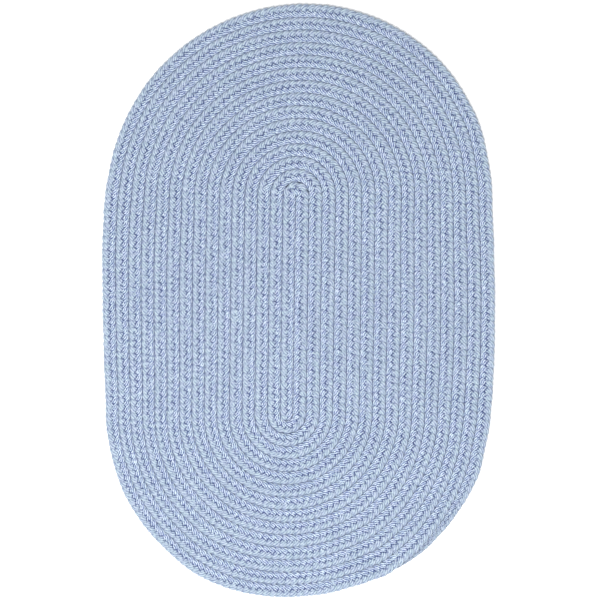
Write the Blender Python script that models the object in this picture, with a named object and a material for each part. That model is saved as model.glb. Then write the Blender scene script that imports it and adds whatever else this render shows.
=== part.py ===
"""Oval braided rug, about 2 ft by 3 ft.

One long flat braid starts at the lower end of a straight core, runs up beside it and coils clockwise
until fifteen rows lie on each side. Each row is laced to the one inside it, so the rug is one flat,
reversible piece with a groove between rows on both faces. The braid's last stretch tapers into the edge.
+X is the rug's width, +Y its length, and its underside lies on z = 0.
"""

import math

import bmesh
import bpy
from mathutils import Vector

# Coil, in metres. A row is one width of the braid.
TURNS = 15  # rows on each side of the core
CORE_X = -0.0062  # the core groove lies a little left of the middle
CORE_TOP = 0.1645  # upper end of the core groove, where the first turn bends back
CORE_BOTTOM = -0.175  # lower end of the core groove, where the braid starts
ROW_LEFT = 0.019  # row width on the left side
ROW_RIGHT = 0.0198
ROW_TOP = 0.0196
ROW_BOTTOM = 0.0196
DRIFT_TOP = 0.0005  # how far each row moves the top of its bend to the right
DRIFT_BOTTOM = 0.0004

# How the laid rug departs from a true oval
HALF_WIDTH = 0.301
HALF_LENGTH = 0.457
SIDE_BOW = 0.0107  # how far the sides swell at mid-length
LEAN = 0.0058  # how far the ends lean sideways, in line with the core
END_SKEW = 0.0023  # further lean that grows with the cube of the distance
WANDER_FADE = 3  # power by which the edge's wander fades toward the core
EDGE_WANDER = (  # bearing from +X in degrees, then how far the edge lies outside the oval there
    (0, 0.0012),
    (15, -0.0012),
    (27, -0.0045),
    (36, -0.0063),
    (47, -0.0025),
    (60, 0.0),
    (90, -0.0018),
    (120, -0.0017),
    (135, -0.0038),
    (144, -0.004),
    (155, 0.001),
    (165, 0.0018),
    (180, 0.0),
    (195, -0.0027),
    (210, -0.0069),
    (220, -0.0083),
    (230, -0.0057),
    (241, -0.0048),
    (250, -0.001),
    (270, -0.0039),
    (279, -0.0013),
    (284, 0.0026),
    (288, 0.0082),
    (291, 0.007),
    (296, 0.0066),
    (302, 0.0035),
    (308, 0.0008),
    (315, -0.0013),
    (321, -0.0044),
    (328, -0.0022),
    (335, 0.0005),
    (345, 0.0017),
)

# Cross-section of the braid: place across the row, then height above the floor
THICKNESS = 0.011
GROOVE = 0.003  # depth of the groove between rows, on each face
UPPER_FACE = (
    (0.0, THICKNESS - GROOVE),
    (0.2, THICKNESS - 0.0007),
    (0.5, THICKNESS),
    (0.8, THICKNESS - 0.0007),
)
UNDERSIDE = (
    (0.0, GROOVE),
    (0.2, 0.0),
    (0.8, 0.0),
)

# Facets
CREASE = math.radians(50)  # edges sharper than this are shaded as creases
SIDE_STEPS = 3  # along each straight side
END_STEPS = 20  # round each half-turn
TAIL_FROM = 2  # step of the bottom half-turn at which the last row starts to narrow
TAIL_STEPS = 6  # step at which it is cut off

# Tail of the braid
TAIL_WIDTH = 0.08  # of a row, at its cut end


def ellipse_bend(middle, left, right, height, up):
    """Half a bend that starts at its left if it is the upper one, and at its right if it is the lower."""
    points = []
    for step in range(END_STEPS + 1):
        angle = math.pi * step / END_STEPS
        reach = -math.cos(angle) * up
        half = right if reach > 0 else left
        points.append(middle + Vector((half * reach, height * math.sin(angle) * up)))
    return points


def straight(start, end):
    return [start.lerp(end, step / SIDE_STEPS) for step in range(SIDE_STEPS)]


def upper_bend(rows):
    drift = DRIFT_TOP * rows
    middle = Vector((CORE_X + drift, CORE_TOP))
    return ellipse_bend(middle, ROW_LEFT * rows + drift, ROW_RIGHT * rows - drift, ROW_TOP * rows, 1)


def lower_bend(rows):
    """The bend under the core, which brings a row on the right to one row further out on the left."""
    left = CORE_X - ROW_LEFT * (rows + 1)
    right = CORE_X + ROW_RIGHT * rows
    middle = Vector((CORE_X + DRIFT_BOTTOM * rows - ROW_LEFT / 2, CORE_BOTTOM))
    return ellipse_bend(middle, middle.x - left, right - middle.x, ROW_BOTTOM * (rows + 0.5), -1)


def wander(bearing):
    """Smooth reading of EDGE_WANDER at a bearing in degrees from 0 to 360."""
    table = EDGE_WANDER + ((360, EDGE_WANDER[0][1]),)
    for (before, low), (after, high) in zip(table, table[1:]):
        if bearing <= after:
            break
    share = (bearing - before) / (after - before)
    return low + (high - low) * share * share * (3 - 2 * share)


def laid(point, rows):
    """Moves a point of the true oval to where the laid rug has it."""
    across = point.x / HALF_WIDTH
    along = point.y / HALF_LENGTH
    moved = point.copy()
    moved.x += SIDE_BOW * across * (1 - along * along) + LEAN * along + END_SKEW * along**3
    bearing = math.degrees(math.atan2(moved.y, moved.x)) % 360
    return moved + moved.normalized() * wander(bearing) * (rows / TURNS) ** WANDER_FADE


def laid_lower_bend(points, rows):
    """Round this bend the coil gains one row."""
    return [laid(point, rows + step / END_STEPS) for step, point in enumerate(points)]


def turn_line(turn, across):
    """One full turn of the coil, at a place across its row: up the left, over, down the right and under."""
    rows = turn + across
    top = upper_bend(rows)
    bottom = lower_bend(rows)
    upper_part = straight(Vector((top[0].x, CORE_BOTTOM)), top[0]) + top[:-1] + straight(top[-1], bottom[0])
    line = [laid(point, rows) for point in upper_part]
    if turn == TURNS - 1 and across > 0:
        return line + tail_line(turn, across)
    return line + laid_lower_bend(bottom, rows)


def tail_line(turn, across):
    """The last stretch of the braid, whose width shrinks round the lower bend until it is cut off."""
    line = []
    for step in range(TAIL_STEPS + 1):
        narrowed = max(0, step - TAIL_FROM) / (TAIL_STEPS - TAIL_FROM)
        width = 1 - (1 - TAIL_WIDTH) * narrowed
        rows = turn + across * width
        line.append(laid(lower_bend(rows)[step], rows + step / END_STEPS))
    return line


def raised(mesh, line, height):
    return [mesh.verts.new((point.x, point.y, height)) for point in line]


def join_rails(mesh, inner, outer):
    for a, b, c, d in zip(inner, inner[1:], outer[1:], outer):
        mesh.faces.new((a, b, c, d))


def coiled_face(mesh, section):
    """One face of the rug: rails at every point of the section, for every turn, joined by quads."""
    rails = []
    for turn in range(TURNS):
        for across, height in section:
            rails.append(raised(mesh, turn_line(turn, across), height))
    rails.append(raised(mesh, turn_line(TURNS - 1, 1.0), section[0][1]))
    for inner, outer in zip(rails, rails[1:]):
        join_rails(mesh, inner, outer)


def braid_start(mesh, section):
    """Rounded first end of the braid, under the core groove: half of the section turned about its middle.

    The innermost ring is closed by a face. Where it is the crest itself it has no size, and merging removes it.
    """
    rim = lower_bend(0)
    hub = rim[0].lerp(rim[-1], 0.5)
    rails = []
    for across, height in section + ((1.0, section[0][1]),):
        if across >= 0.5:
            share = 2 * across - 1
            ring = laid_lower_bend([hub.lerp(point, share) for point in rim], 0)
            rails.append(raised(mesh, ring, height))
    for inner, outer in zip(rails, rails[1:]):
        join_rails(mesh, inner, outer)
    mesh.faces.new(rails[0])


def centred(mesh):
    """Moves the outline's middle to the origin."""
    xs = [vert.co.x for vert in mesh.verts]
    ys = [vert.co.y for vert in mesh.verts]
    middle = Vector(((min(xs) + max(xs)) / 2, (min(ys) + max(ys)) / 2, 0))
    bmesh.ops.translate(mesh, verts=mesh.verts, vec=-middle)


def yarn():
    """Soft pale blue yarn."""
    material = bpy.data.materials.new("pale_blue_yarn")
    material.use_nodes = True
    shader = material.node_tree.nodes["Principled BSDF"]
    shader.inputs["Base Color"].default_value = (0.42, 0.51, 0.69, 1)
    shader.inputs["Roughness"].default_value = 0.9
    shader.inputs["Metallic"].default_value = 0.0
    return material


def braided_rug():
    mesh = bmesh.new()
    for section in (UPPER_FACE, UNDERSIDE):
        coiled_face(mesh, section)
        braid_start(mesh, section)
    bmesh.ops.remove_doubles(mesh, verts=mesh.verts, dist=1e-6)
    edge = [line for line in mesh.edges if line.is_boundary]
    bmesh.ops.bridge_loops(mesh, edges=edge)
    bmesh.ops.recalc_face_normals(mesh, faces=mesh.faces)
    centred(mesh)
    data = bpy.data.meshes.new("braided_rug")
    mesh.to_mesh(data)
    mesh.free()
    data.materials.append(yarn())
    rug = bpy.data.objects.new("braided_rug", data)
    bpy.context.scene.collection.objects.link(rug)
    data.shade_smooth()
    data.set_sharp_from_angle(angle=CREASE)


for leftover in list(bpy.data.objects):
    bpy.data.objects.remove(leftover)
braided_rug()
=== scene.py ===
import math

import bpy
import numpy as np
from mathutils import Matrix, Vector, noise


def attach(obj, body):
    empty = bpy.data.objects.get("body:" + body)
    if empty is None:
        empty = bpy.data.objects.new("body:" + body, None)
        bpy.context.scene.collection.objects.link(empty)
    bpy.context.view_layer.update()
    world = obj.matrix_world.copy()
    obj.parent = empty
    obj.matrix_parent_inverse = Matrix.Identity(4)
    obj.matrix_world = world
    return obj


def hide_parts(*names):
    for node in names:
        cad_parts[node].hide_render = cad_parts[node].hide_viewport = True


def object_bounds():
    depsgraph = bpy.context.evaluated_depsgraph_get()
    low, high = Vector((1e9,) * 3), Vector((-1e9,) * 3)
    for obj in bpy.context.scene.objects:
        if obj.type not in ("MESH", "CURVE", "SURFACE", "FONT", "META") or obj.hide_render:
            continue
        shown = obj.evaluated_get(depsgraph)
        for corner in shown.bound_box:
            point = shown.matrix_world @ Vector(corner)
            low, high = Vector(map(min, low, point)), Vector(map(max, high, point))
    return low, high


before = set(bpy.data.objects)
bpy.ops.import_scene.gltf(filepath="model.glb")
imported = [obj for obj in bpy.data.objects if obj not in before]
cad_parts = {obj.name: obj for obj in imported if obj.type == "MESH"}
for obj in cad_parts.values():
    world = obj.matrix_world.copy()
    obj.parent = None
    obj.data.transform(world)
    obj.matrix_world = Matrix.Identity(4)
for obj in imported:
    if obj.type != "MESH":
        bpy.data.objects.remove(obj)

cad_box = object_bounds()


# ---- The coil --------------------------------------------------------------------------------------------
# The rug is one long flat braid. It starts at the lower end of a straight core, runs up the core's left side
# and coils clockwise for fifteen rows, each laced to the one inside it. A place on the coil is given by its
# turn, by how far round the turn it is, and by how far across the row it is.

TURNS = 15
CORE_X = -0.0062
CORE_TOP = 0.1645
CORE_BOTTOM = -0.175
ROW_LEFT = 0.019
ROW_RIGHT = 0.0198
ROW_TOP = 0.0196
ROW_BOTTOM = 0.0196
DRIFT_TOP = 0.0005  # how far each row moves the top of its bend to the right
DRIFT_BOTTOM = 0.0004
HALF_WIDTH = 0.301
HALF_LENGTH = 0.457
SIDE_BOW = 0.0107  # how far the sides swell at mid-length
LEAN = 0.0058  # how far the top end leans to the right, and the bottom end to the left
END_SKEW = 0.0023  # further lean, which grows with the cube of the distance from the middle
WANDER_FADE = 3  # power by which the edge's wander fades toward the core
EDGE_WANDER = (  # bearing from +X in degrees, then how far the edge lies outside the oval there
    (0, 0.0012),
    (15, -0.0012),
    (27, -0.0045),
    (36, -0.0063),
    (47, -0.0025),
    (60, 0.0),
    (90, -0.0018),
    (120, -0.0017),
    (135, -0.0038),
    (144, -0.004),
    (155, 0.001),
    (165, 0.0018),
    (180, 0.0),
    (195, -0.0027),
    (210, -0.0069),
    (220, -0.0083),
    (230, -0.0057),
    (241, -0.0048),
    (250, -0.001),
    (270, -0.0039),
    (279, -0.0013),
    (284, 0.0026),
    (288, 0.0082),
    (291, 0.007),
    (296, 0.0066),
    (302, 0.0035),
    (308, 0.0008),
    (315, -0.0013),
    (321, -0.0044),
    (328, -0.0022),
    (335, 0.0005),
    (345, 0.0017),
)
THICKNESS = cad_box[1][2] - cad_box[0][2]
START_ROUND = 0.03  # quarters of a turn, before the core's lower end, in which the first end rounds off
START_TIP = 0.05  # square of the first end's width at its tip, as a share of a row
TAIL_START = 59.1  # quarters of a turn from the start to where the last row begins to narrow
TAIL_END = 59.3
TAIL_WIDTH = 0.08  # of a row, at its cut end
FLATTEN = 0.6  # power by which the braid thins as it narrows
RUN_STEP = 0.01  # quarters of a turn between the places where the braid's length is measured
OUTLINE_STEPS = 40  # in a quarter of a turn, to find the rug's middle
TAIL_GAP = 15  # of those steps, from the last bend's start to where the row inside the tail is the edge


def wander(bearing):
    """Smooth reading of EDGE_WANDER at a bearing in degrees from 0 to 360."""
    table = EDGE_WANDER + ((360, EDGE_WANDER[0][1]),)
    for (before, low), (after, high) in zip(table, table[1:]):
        if bearing <= after:
            break
    share = (bearing - before) / (after - before)
    return low + (high - low) * share * share * (3 - 2 * share)


def true_oval(rows, quarter, share):
    """A point of the coil before it is laid: up the left, over the top, down the right, or round below."""
    angle = math.pi * share
    if quarter == 0:
        return CORE_X - ROW_LEFT * rows, CORE_BOTTOM + (CORE_TOP - CORE_BOTTOM) * share
    if quarter == 1:
        middle = CORE_X + DRIFT_TOP * rows
        reach = -math.cos(angle)
        half = ROW_RIGHT * rows - DRIFT_TOP * rows if reach > 0 else ROW_LEFT * rows + DRIFT_TOP * rows
        return middle + half * reach, CORE_TOP + ROW_TOP * rows * math.sin(angle)
    if quarter == 2:
        return CORE_X + ROW_RIGHT * rows, CORE_TOP + (CORE_BOTTOM - CORE_TOP) * share
    middle = CORE_X + DRIFT_BOTTOM * rows - ROW_LEFT / 2
    reach = math.cos(angle)
    half = CORE_X + ROW_RIGHT * rows - middle if reach > 0 else middle - (CORE_X - ROW_LEFT * (rows + 1))
    return middle + half * reach, CORE_BOTTOM - ROW_BOTTOM * (rows + 0.5) * math.sin(angle)


def coil_point(run, across):
    """A point of the laid coil.

    run counts quarters of a turn from the braid's start.
    across is 0 at a row's inner groove and 1 at its outer.
    """
    quarter = max(0, math.floor(run))
    share = run - quarter
    turn, quarter = divmod(quarter, 4)
    rows = turn + across
    x, y = true_oval(rows, quarter, share)
    along = y / HALF_LENGTH
    x += SIDE_BOW * x / HALF_WIDTH * (1 - along * along) + LEAN * along + END_SKEW * along**3
    reach = rows + share if quarter == 3 else rows
    push = wander(math.degrees(math.atan2(y, x)) % 360) * (reach / TURNS) ** WANDER_FADE / math.hypot(x, y)
    return Vector((x + x * push, y + y * push, 0))


outline = [coil_point(TURNS * 4 - 4 + step / OUTLINE_STEPS, 1.0) for step in range(3 * OUTLINE_STEPS)]
outline += [coil_point(TURNS * 4 - 1 + step / OUTLINE_STEPS, 0.0) for step in range(TAIL_GAP, OUTLINE_STEPS)]
low = [min(point[axis] for point in outline) for axis in (0, 1)]
high = [max(point[axis] for point in outline) for axis in (0, 1)]
MIDDLE = Vector(((low[0] + high[0]) / 2, (low[1] + high[1]) / 2, 0))

runs = np.arange(-START_ROUND, TAIL_END + RUN_STEP / 10, RUN_STEP)
centres = np.array([coil_point(run, 0.5) for run in runs])
travelled = np.concatenate([[0], np.cumsum(np.linalg.norm(np.diff(centres, axis=0), axis=1))])
BRAID_LENGTH = travelled[-1]


def distance_at(run):
    """How far along the braid's middle a place lies, in metres."""
    return np.interp(run, runs, travelled)


def row_width(run):
    """Width of the braid as a share of a full row: rounded at its first end, tapered at its last."""
    if run < 0:
        return math.sqrt(max(START_TIP, 1 - (run / START_ROUND) ** 2))
    if run > TAIL_START:
        return 1 - (1 - TAIL_WIDTH) * (run - TAIL_START) / (TAIL_END - TAIL_START)
    return 1.0


def braid_edges(distance):
    """The braid's inner and outer edge at a distance along it, and its thickness as a share of the full."""
    run = float(np.interp(distance, travelled, runs))
    width = row_width(run)
    near = 0.0 if run > TAIL_START else 0.5 - width / 2
    return coil_point(run, near) - MIDDLE, coil_point(run, near + width) - MIDDLE, width**FLATTEN


class Stretch:
    """A run of the braid, cut at even distances, and its own frame: along it, across it and up."""

    def __init__(self, distances):
        self.distances = distances
        edges = [braid_edges(distance) for distance in distances]
        self.inner = np.array([inner for inner, outer, share in edges])
        self.across = np.array([outer for inner, outer, share in edges]) - self.inner
        self.share = np.array([share for inner, outer, share in edges])
        ahead = np.gradient(self.inner + self.across / 2, axis=0)
        self.ahead = ahead / np.linalg.norm(ahead, axis=1)[:, None]

    def points(self, asides, heights):
        """Points so many rows outward from the braid's middle, and so far above its mid-thickness."""
        points = self.inner + self.across * (0.5 + np.asarray(asides))[:, None]
        points[:, 2] = (THICKNESS / 2 + np.asarray(heights)) * self.share
        return points

    def row_map(self, rings):
        """For points near each cut, how far along the braid they are in metres and how far across the row."""
        offsets = rings - self.inner[:, None]
        along = self.distances[:, None] + (offsets * self.ahead[:, None]).sum(axis=2)
        width = (self.across**2).sum(axis=1)
        return np.stack([along, (offsets * self.across[:, None]).sum(axis=2) / width[:, None]], axis=-1)


# ---- The strands -----------------------------------------------------------------------------------------
# Three soft strands of spun yarns are plaited flat. Each swings from edge to edge, over the others on its way
# out and under them on its way in, and shows as a row of plump lobes that meet along a zigzag.

STRANDS = 3
REPEAT_NEAR = 0.0306  # travel in which a strand swings out and back; three lobes show on each side in it
REPEATS = round(BRAID_LENGTH / REPEAT_NEAR)
REPEAT = BRAID_LENGTH / REPEATS
LENGTHS = 5  # pieces that each strand is modelled in
RINGS = 18  # sections of a strand in one repeat
CORNERS = 10  # points round a section
SWING = 0.265  # of a row, from its middle to the middle of a strand at its edge
EDGE_RUN = 0.06  # share by which the swing is squared, so that a strand follows the edge for longer
INWARD = 0.01  # of a row, that the zigzag lies inside the row's middle
LAG = math.radians(5)  # of the rise and fall behind the swing: a strand passes the middle low and turns high
LAG_CHANGE = math.radians(9)  # more on the inner side, and less on the outer, where the lobes lie flatter
SPREAD = 0.12  # share by which a strand is wider on the outer side, and narrower on the inner
PLATEAU = 1.8  # a higher number keeps a strand at full height for longer
STRAND_WIDTH = 0.0112
STRAND_HEIGHT = THICKNESS * 0.46
LIFT = (THICKNESS - STRAND_HEIGHT) / 2
STANDING = 1.0  # share by which a strand's section stands taller where it turns under at an edge
SQUARE = 3.6  # power of the section's oval: 2 is an ellipse, more is squarer
YARNS = 8  # round a strand
YARN_LEAN = 0.1  # of a strand's girth, that they roll to the rug's outside and back as it swings
UNEVEN = 0.06  # most that a lobe's fullness strays, as a share
UNEVEN_RATE = 60  # strays in a metre
UNEVEN_APART = 7.3  # strays between one strand's and the next's, so that they differ
UNEVEN_SEED = 5

corner_angles = 2 * math.pi * np.arange(CORNERS + 1) / CORNERS
SECTION = np.stack([np.cos(corner_angles), np.sin(corner_angles)], axis=-1)
SECTION = np.sign(SECTION) * abs(SECTION) ** (2 / SQUARE) * (STRAND_WIDTH / 2, STRAND_HEIGHT / 2)
girths = np.concatenate([[0], np.cumsum(np.linalg.norm(np.diff(SECTION, axis=0), axis=1))])
GIRTH = girths[-1]

noise.seed_set(UNEVEN_SEED)


def strand_path(braid, strand):
    """Rings of points round one strand, with the maps of its yarns and of its place in the row."""
    places = braid.distances / REPEAT
    angle = 2 * math.pi * (places + strand / STRANDS)
    spots = [Vector((distance * UNEVEN_RATE, strand * UNEVEN_APART, 0)) for distance in braid.distances]
    slack = np.array([noise.noise_vector(spot) for spot in spots])
    swing = SWING * (np.sin(angle) + EDGE_RUN * np.sin(3 * angle)) * (1 + UNEVEN / 2 * slack[:, 0])
    rise = np.tanh(PLATEAU * np.sin(2 * angle - LAG + LAG_CHANGE * np.sin(angle))) / math.tanh(PLATEAU)
    middles = braid.points(swing - INWARD * np.cos(angle) ** 2, LIFT * rise)
    ahead = np.gradient(middles, axis=0)
    ahead /= np.linalg.norm(ahead, axis=1)[:, None]
    beside = np.cross(ahead, (0, 0, 1))
    beside /= np.linalg.norm(beside, axis=1)[:, None]
    above = np.cross(beside, ahead)
    fullness = (1 + UNEVEN * slack[:, 2]) * braid.share
    standing = fullness * (1 + STANDING * np.sin(angle) ** 2 * (1 - rise * rise))
    breadth = fullness * (1 + SPREAD * np.sin(angle))
    rings = middles[:, None] + beside[:, None] * np.outer(breadth, SECTION[:, 0])[..., None]
    rings += above[:, None] * np.outer(standing, SECTION[:, 1])[..., None]
    rings[..., 2] = np.clip(rings[..., 2], 0, THICKNESS)
    turns = places[:, None] + strand / STRANDS
    around = strand + girths / GIRTH + YARN_LEAN * np.cos(angle)[:, None]
    yarns = np.stack([np.broadcast_to(turns, around.shape), around], axis=-1)
    return rings[:, :-1], {"yarns": yarns, "row": braid.row_map(rings)}


def closed_tube(name, rings, maps):
    """A mesh tube through rings of points, with closed ends and a UV map for each layout of the points."""
    steps, corners = rings.shape[:2]
    number = np.arange(steps * corners).reshape(steps, corners)
    beside = np.roll(number, -1, axis=1)
    quads = np.stack([number[:-1], beside[:-1], beside[1:], number[1:]], axis=-1).reshape(-1, 4)
    mesh = bpy.data.meshes.new(name)
    ends = [number[0, ::-1].tolist(), number[-1].tolist()]
    mesh.from_pydata(rings.reshape(-1, 3).tolist(), [], quads.tolist() + ends)
    for label, layout in maps.items():
        sides = [layout[:-1, :-1], layout[:-1, 1:], layout[1:, 1:], layout[1:, :-1]]
        sides = np.stack(sides, axis=2).reshape(-1, 2)
        values = np.concatenate([sides, layout[0, -2::-1], layout[-1, :-1]])
        layer = mesh.uv_layers.new(name=label)
        layer.data.foreach_set("uv", values.astype(np.float32).ravel())
    mesh.validate()
    tube = bpy.data.objects.new(name, mesh)
    bpy.context.scene.collection.objects.link(tube)
    bpy.ops.object.select_all(action="DESELECT")
    bpy.context.view_layer.objects.active = tube
    tube.select_set(True)
    bpy.ops.object.mode_set(mode="EDIT")
    bpy.ops.mesh.select_all(action="SELECT")
    bpy.ops.mesh.normals_make_consistent(inside=False)
    bpy.ops.object.mode_set(mode="OBJECT")
    bpy.ops.object.shade_smooth()
    for end in mesh.polygons[-2:]:
        end.use_smooth = False
    return tube


def dress(piece, finish):
    """Gives a piece its finish and sets it in the place of the rug's solid."""
    piece.data.materials.append(finish)
    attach(piece, "root")
    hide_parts("braided_rug")


yarn = bpy.data.materials.new("pale_blue_yarn")
yarn.use_nodes = True
tree = yarn.node_tree
shader = tree.nodes["Principled BSDF"]
shader.inputs["Roughness"].default_value = 0.9
shader.inputs["Sheen Weight"].default_value = 0.15
shader.inputs["Sheen Roughness"].default_value = 0.5
INNER_HALF_TO = 0.4  # of a row, across it
OUTER_HALF_FROM = 0.6


def uv_map(label):
    node = tree.nodes.new("ShaderNodeUVMap")
    node.uv_map = label
    return node.outputs["UV"]


def axes_of(vector):
    """The parts of a vector, by the names X, Y and Z."""
    node = tree.nodes.new("ShaderNodeSeparateXYZ")
    tree.links.new(vector, node.inputs[0])
    return node.outputs


def math_node(operation, first, second=0.0):
    """A Math node on two inputs, each a socket or a number."""
    node = tree.nodes.new("ShaderNodeMath")
    node.operation = operation
    for socket, value in zip(node.inputs, (first, second)):
        if isinstance(value, float):
            socket.default_value = value
        else:
            tree.links.new(value, socket)
    return node.outputs[0]


def noise_node(vector, scale, detail):
    node = tree.nodes.new("ShaderNodeTexNoise")
    node.inputs["Scale"].default_value = scale
    node.inputs["Detail"].default_value = detail
    tree.links.new(vector, node.inputs["Vector"])
    return node.outputs["Fac"]


def yarn_noise(marks, detail):
    """Noise that follows the yarns, with so many marks in a repeat and in a girth."""
    node = tree.nodes.new("ShaderNodeMapping")
    node.inputs["Scale"].default_value = (*marks, 1)
    tree.links.new(yarn_uv, node.inputs["Vector"])
    return noise_node(node.outputs["Vector"], 1.0, detail)


def share_between(value, low, high):
    """0 where a value is at or before low, 1 where it is at or past high."""
    node = tree.nodes.new("ShaderNodeMapRange")
    node.inputs["From Min"].default_value = low
    node.inputs["From Max"].default_value = high
    tree.links.new(value, node.inputs["Value"])
    return node.outputs["Result"]


def patches(fineness, detail, low, high):
    """Uneven patches over the whole rug, from none to full."""
    return share_between(noise_node(place, fineness, detail), low, high)


def inner_to_outer(inner, outer):
    """A number for the row's inner half that turns smoothly into another for its outer half."""
    node = tree.nodes.new("ShaderNodeMapRange")
    node.interpolation_type = "SMOOTHSTEP"
    node.inputs["From Min"].default_value = INNER_HALF_TO
    node.inputs["From Max"].default_value = OUTER_HALF_FROM
    node.inputs["To Min"].default_value = inner
    node.inputs["To Max"].default_value = outer
    tree.links.new(across, node.inputs["Value"])
    return node.outputs["Result"]


def blend(mode, factor, first, second):
    """A Mix node on colours, each a socket or a colour; the factor is a socket or a number."""
    node = tree.nodes.new("ShaderNodeMix")
    node.data_type = "RGBA"
    node.blend_type = mode
    for socket, value in ((node.inputs[0], factor), (node.inputs[6], first), (node.inputs[7], second)):
        if isinstance(value, (float, tuple)):
            socket.default_value = value
        else:
            tree.links.new(value, socket)
    return node.outputs[2]


yarn_uv = uv_map("yarns")
round_strand = axes_of(yarn_uv)["Y"]
row_axes = axes_of(uv_map("row"))
along = row_axes["X"]
across = row_axes["Y"]
place = tree.nodes.new("ShaderNodeTexCoord").outputs["Object"]

# The dye is uneven, and the rug's face a little worn. Patches are given by how fine they are, how detailed,
# and the noise that counts as none and as full.
PALE = (0.562, 0.661, 0.745, 1)
LAVENDER = (0.58, 0.64, 0.78, 1)
GREY_GREEN = (0.555, 0.685, 0.73, 1)
DYE_STRAY = 0.5  # share of the colour that follows the patches
DYE_PATCHES = (120.0, 1.0, 0.35, 0.65)
WORN = (0.95, 0.955, 0.967, 1)
WORN_PATCHES = (12.0, 1.0, 0.3, 0.7)
OUTER_HALF_SHADE = (0.71, 0.727, 0.745, 1)  # painted shade over a row's outer half, where the yarns lie flat
colour = blend("MIX", patches(*DYE_PATCHES), LAVENDER, GREY_GREEN)
colour = blend("MIX", DYE_STRAY, PALE, colour)
colour = blend("MULTIPLY", patches(*WORN_PATCHES), colour, WORN)
# Painted shade darkens each row's outer half.
colour = blend("MULTIPLY", inner_to_outer(0.0, 1.0), colour, OUTER_HALF_SHADE)

# Painted shade darkens lines between the yarns, and some stretches of yarn are darker than others.
YARN_GAP_SHADE = (0.13, 0.17, 0.38, 1)
LINE_EDGE = 0.9  # height on a yarn's side, as a share of its crest, at which the line of painted shade begins
LINE_PATCHES = (300.0, 1.0, 0.25, 0.62)
INNER_LINES = 1.7  # strength in a row's inner half
OUTER_LINES = 0.95
DARK_YARN = (0.5, 0.54, 0.68, 1)
TONE_MARKS = (13, 17)  # in a repeat, and in a strand's girth
TONE_NONE = 0.62  # the noise at which a yarn isn't darker at all
TONE_FULL = 0.36
INNER_TONE = 1.1  # strength in a row's inner half
OUTER_TONE = 0.55
crest = math_node("ABSOLUTE", math_node("SINE", math_node("MULTIPLY", round_strand, math.pi * YARNS)))
line_strength = inner_to_outer(INNER_LINES, OUTER_LINES)
yarn_gap_shade = math_node("MULTIPLY", share_between(crest, LINE_EDGE, 0.0), line_strength)
yarn_gap_shade = math_node("MULTIPLY", yarn_gap_shade, patches(*LINE_PATCHES))
# Painted shade in the lines between the yarns, stronger in a row's inner half.
colour = blend("MULTIPLY", yarn_gap_shade, colour, YARN_GAP_SHADE)
tone = share_between(yarn_noise(TONE_MARKS, 0.0), TONE_NONE, TONE_FULL)
tone = math_node("MULTIPLY", tone, inner_to_outer(INNER_TONE, OUTER_TONE))
colour = blend("MULTIPLY", tone, colour, DARK_YARN)

# The zigzag where the two sides' lobes meet lies deep between them, and is painted dark as shade.
FOLD_SHADE = (0.035, 0.088, 0.3, 1)
CLEFT_MIDDLE = 0.5  # of a row, across it
CLEFT_SWING = 0.105  # of a row, from the zigzag's middle to its points
CLEFT_SLANT = 0.008  # travel by which the zigzag leans back from a row's inner groove to its outer
CLEFT_STRAY = 0.035  # of a row, between the furthest that the zigzag strays inward and outward
CLEFT_STRAY_FINENESS = 140.0
NOISE_MIDDLE = 0.5
CLEFT_EDGE = 0.12  # of a row, from the zigzag to where its darkness ends
CLEFT_FULL = 0.01  # of a row, from the zigzag to where its darkness is full
CLEFT_END = 0.85  # darkness of the zigzag's outer points as a share of its inner ones'
CLEFT_PATCHES = (340.0, 0.0, 0.3, 0.54)
from_middle = math_node("SUBTRACT", across, CLEFT_MIDDLE)
leaning = math_node("ADD", along, math_node("MULTIPLY", from_middle, CLEFT_SLANT))
wave = math_node("COSINE", math_node("MULTIPLY", leaning, 2 * math.pi * STRANDS / REPEAT))
stray = math_node("SUBTRACT", noise_node(place, CLEFT_STRAY_FINENESS, 0.0), NOISE_MIDDLE)
zigzag = math_node("ADD", math_node("MULTIPLY", wave, CLEFT_SWING), math_node("MULTIPLY", stray, CLEFT_STRAY))
cleft = math_node("ABSOLUTE", math_node("SUBTRACT", from_middle, zigzag))
cleft = math_node("MULTIPLY", share_between(cleft, CLEFT_EDGE, CLEFT_FULL), inner_to_outer(1.0, CLEFT_END))
cleft = math_node("MULTIPLY", cleft, patches(*CLEFT_PATCHES))

# The groove between two rows is painted dark with shade too, less so round the bends, and not at all round
# the rug's free edge.
ROW_CREST = 0.49  # of a row, across it: the place furthest from its grooves
GROOVE_EDGE = 0.445  # of a row, from the crest to where the groove's darkness begins
GROOVE_FULL = 0.49  # of a row, from the crest to where the groove's darkness is full
GROOVE_SHADE_DEPTH = 0.8  # how dark that painted shade is
GROOVE_PATCHES = (260.0, 0.0, 0.1, 0.5)
LAST_TURN = distance_at(TAIL_END - 4)
TAIL_FADE = 0.12  # travel before the last turn in which the outer groove's darkness ends
BEND_FROM = 0.12  # from the rug's middle, along it
BEND_TO = 0.3
BEND_FADE = 0.25  # share by which the grooves are less dark round the bends
groove = math_node("ABSOLUTE", math_node("SUBTRACT", across, ROW_CREST))
groove = math_node("MULTIPLY", share_between(groove, GROOVE_EDGE, GROOVE_FULL), GROOVE_SHADE_DEPTH)
inside = share_between(along, LAST_TURN, LAST_TURN - TAIL_FADE)
groove = math_node("MULTIPLY", groove, math_node("MAXIMUM", inside, inner_to_outer(1.0, 0.0)))
groove = math_node("MULTIPLY", groove, patches(*GROOVE_PATCHES))
bend = share_between(math_node("ABSOLUTE", axes_of(place)["Y"]), BEND_FROM, BEND_TO)
groove = math_node("MULTIPLY", groove, math_node("SUBTRACT", 1.0, math_node("MULTIPLY", bend, BEND_FADE)))
# Painted shade in the zigzag's cleft and in the grooves between rows.
colour = blend("MULTIPLY", math_node("MAXIMUM", cleft, groove), colour, FOLD_SHADE)
tree.links.new(colour, shader.inputs["Base Color"])

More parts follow.
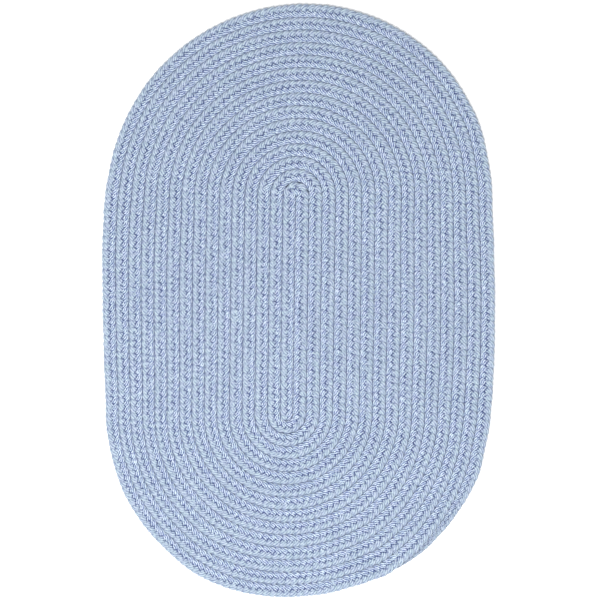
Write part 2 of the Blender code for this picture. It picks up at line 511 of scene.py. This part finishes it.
# Each yarn stands up between its lines, and its fibres show on it.
YARN_RELIEF = 0.0009  # height of a yarn over its lines
INNER_RELIEF = 1.1  # shares of that height in a row's inner half
OUTER_RELIEF = 0.6
FIBRE_MARKS = (14, 60)  # in a repeat, and in a strand's girth
FIBRE_DETAIL = 2.0
FIBRE_RELIEF = 0.5
raised = math_node("MULTIPLY", crest, inner_to_outer(INNER_RELIEF, OUTER_RELIEF))
fibre = math_node("MULTIPLY", yarn_noise(FIBRE_MARKS, FIBRE_DETAIL), FIBRE_RELIEF)
bump = tree.nodes.new("ShaderNodeBump")
bump.inputs["Distance"].default_value = YARN_RELIEF
tree.links.new(math_node("ADD", raised, fibre), bump.inputs["Height"])
tree.links.new(bump.outputs["Normal"], shader.inputs["Normal"])

braid = Stretch(np.linspace(0, BRAID_LENGTH, REPEATS * RINGS + 1))
cuts = [round(REPEATS * length / LENGTHS) * RINGS for length in range(LENGTHS + 1)]
for strand in range(STRANDS):
    rings, maps = strand_path(braid, strand)
    shift = strand * RINGS // STRANDS  # so that each strand is joined where it passes the plait's middle
    joints = [0] + [cut - shift for cut in cuts[1:-1]] + [cuts[-1]]
    for length, (first, last) in enumerate(zip(joints, joints[1:])):
        part = slice(first, last + 1)
        part_maps = {label: layout[part] for label, layout in maps.items()}
        piece = closed_tube(f"strand_{strand + 1}_length_{length + 1}", rings[part], part_maps)
        dress(piece, yarn)


# ---- The fastening ---------------------------------------------------------------------------------------
# Beside the braid's cut end a few turns of the same yarn are sewn over the groove on the inner side of the
# last full row. They lie side by side, and each dives between the lobes at both ends.

WRAPS_AT = 55.287  # quarters of a turn from the braid's start
WRAP_COUNT = 3
WRAP_PITCH = 0.0023
WRAP_RADIUS = 0.0012
WRAP_FROM = -0.16  # of a row, from the groove that the turns cross
WRAP_TO = 0.46
WRAP_DIVE = 0.006  # how far a turn's ends go down
WRAP_TONE = 0.2  # of a row, the place that the turns are coloured for
WRAP_YARNS = 2  # so that one line of painted shade shows down each side
WRAP_STEPS = 12
WRAP_CORNERS = 8


def wrap(number):
    """One turn of yarn over the groove, as rings of points round it."""
    inner, outer, share = braid_edges(distance_at(WRAPS_AT) + number * WRAP_PITCH)
    across = np.array(outer - inner)
    along = np.cross(across, (0, 0, 1)) / np.linalg.norm(across)
    shares = np.linspace(0, 1, WRAP_STEPS + 1)[:, None]
    middles = np.array(inner) + across * (WRAP_FROM + (WRAP_TO - WRAP_FROM) * shares)
    middles[:, 2] = THICKNESS - WRAP_RADIUS / 2 - WRAP_DIVE * (1 - np.sin(math.pi * shares[:, 0])) ** 2
    ahead = np.gradient(middles, axis=0)
    above = np.cross(along, ahead / np.linalg.norm(ahead, axis=1)[:, None])
    turn = 2 * math.pi * np.arange(WRAP_CORNERS)[:, None] / WRAP_CORNERS
    return middles[:, None] + WRAP_RADIUS * (np.cos(turn) * along + np.sin(turn) * above[:, None])


wrap_layout = (WRAP_STEPS + 1, WRAP_CORNERS + 1)
wrap_length = (WRAP_TO - WRAP_FROM) * ROW_BOTTOM / REPEAT
lengthwise = np.broadcast_to(np.linspace(0, wrap_length, WRAP_STEPS + 1)[:, None], wrap_layout)
around = np.broadcast_to(np.linspace(0, WRAP_YARNS, WRAP_CORNERS + 1), wrap_layout)
row = np.stack([lengthwise, np.full(wrap_layout, WRAP_TONE)], axis=-1)
for number in range(WRAP_COUNT):
    rings = wrap(number - WRAP_COUNT // 2)
    yarns = np.stack([lengthwise, number + around / YARNS], axis=-1)
    piece = closed_tube(f"end_wrap_{number + 1}", rings, {"yarns": yarns, "row": row})
    dress(piece, yarn)


# ---- The lacing ------------------------------------------------------------------------------------------
# Inside the plait, and from row to row, the lacing thread and the strands' inner runs pull together into a
# flat web at mid-thickness. It shows only at the bottom of the grooves.

WEB_STEP = 0.009
WEB_END = 0.003  # how far the web stops short of the braid's ends
WEB_SECTION = (  # place across the row in rows from its middle, then height from mid-thickness
    (-0.5, 0.0030),
    (-0.4, 0.0041),
    (-0.2, 0.0041),
    (-0.04, 0.0013),
    (0.1, 0.0042),
    (0.28, 0.0045),
    (0.42, 0.0042),
    (0.5, 0.0030),
)
WEB_LINES = 0.9  # girths of a strand that the web's yarns run aside in one repeat

web_run = Stretch(np.arange(WEB_END, BRAID_LENGTH - WEB_END, WEB_STEP))
cut_count = len(web_run.distances)
underside = tuple((aside, -height) for aside, height in reversed(WEB_SECTION))
section = WEB_SECTION + underside + WEB_SECTION[:1]
rails = [web_run.points([aside] * cut_count, [height] * cut_count) for aside, height in section]
rings = np.stack(rails, axis=1)
places = web_run.distances[:, None] / REPEAT
asides = np.array([abs(aside + INWARD) for aside, height in section]) * ROW_LEFT / GIRTH
lines = asides - WEB_LINES * places
yarns = np.stack([np.broadcast_to(places, lines.shape), lines], axis=-1)
web = closed_tube("laced_web", rings[:, :-1], {"yarns": yarns, "row": web_run.row_map(rings)})
dress(web, yarn)


# ---- Floor, light and camera -----------------------------------------------------------------------------
# The rug lies on a plain pale floor, under an even white sky and one soft round lamp. The camera hangs right
# above it and looks straight down.

FLOOR_SIZE = 8
FLOOR_COLOUR = (0.95, 0.95, 0.95, 1)
FLOOR_ROUGHNESS = 0.8
LAMP_AT = (-0.35, -0.7, 2.5)
LAMP_SIZE = 1.6
LAMP_POWER = 87
SKY_COLOUR = (1, 1, 1, 1)
SKY_STRENGTH = 0.7
AIM = (0.0022, 0.0011)  # from the rug's middle to the middle of the picture
CAMERA_HEIGHT = 4.0
FRAME_WIDTH = 0.9268  # of the floor, that fills the picture

bpy.ops.mesh.primitive_plane_add(size=FLOOR_SIZE, location=(0, 0, 0))
floor = bpy.context.object
floor.name = "floor"
floor_paint = bpy.data.materials.new("pale_floor")
floor_paint.use_nodes = True
floor_shader = floor_paint.node_tree.nodes["Principled BSDF"]
floor_shader.inputs["Base Color"].default_value = FLOOR_COLOUR
floor_shader.inputs["Roughness"].default_value = FLOOR_ROUGHNESS
floor.data.materials.append(floor_paint)

bpy.ops.object.light_add(type="AREA", location=LAMP_AT)
lamp = bpy.context.object
lamp.data.shape = "DISK"
lamp.data.size = LAMP_SIZE
lamp.data.energy = LAMP_POWER
lamp.rotation_euler = (-lamp.location).to_track_quat("-Z", "Y").to_euler()

sky = bpy.data.worlds.new("studio")
sky.use_nodes = True
sky.node_tree.nodes["Background"].inputs["Color"].default_value = SKY_COLOUR
sky.node_tree.nodes["Background"].inputs["Strength"].default_value = SKY_STRENGTH
bpy.context.scene.world = sky
bpy.context.scene.view_settings.view_transform = "Standard"

bpy.ops.object.camera_add(location=(*AIM, CAMERA_HEIGHT), rotation=(0, 0, 0))
camera = bpy.context.object
camera.data.lens = camera.data.sensor_width * CAMERA_HEIGHT / FRAME_WIDTH
bpy.context.scene.camera = camera
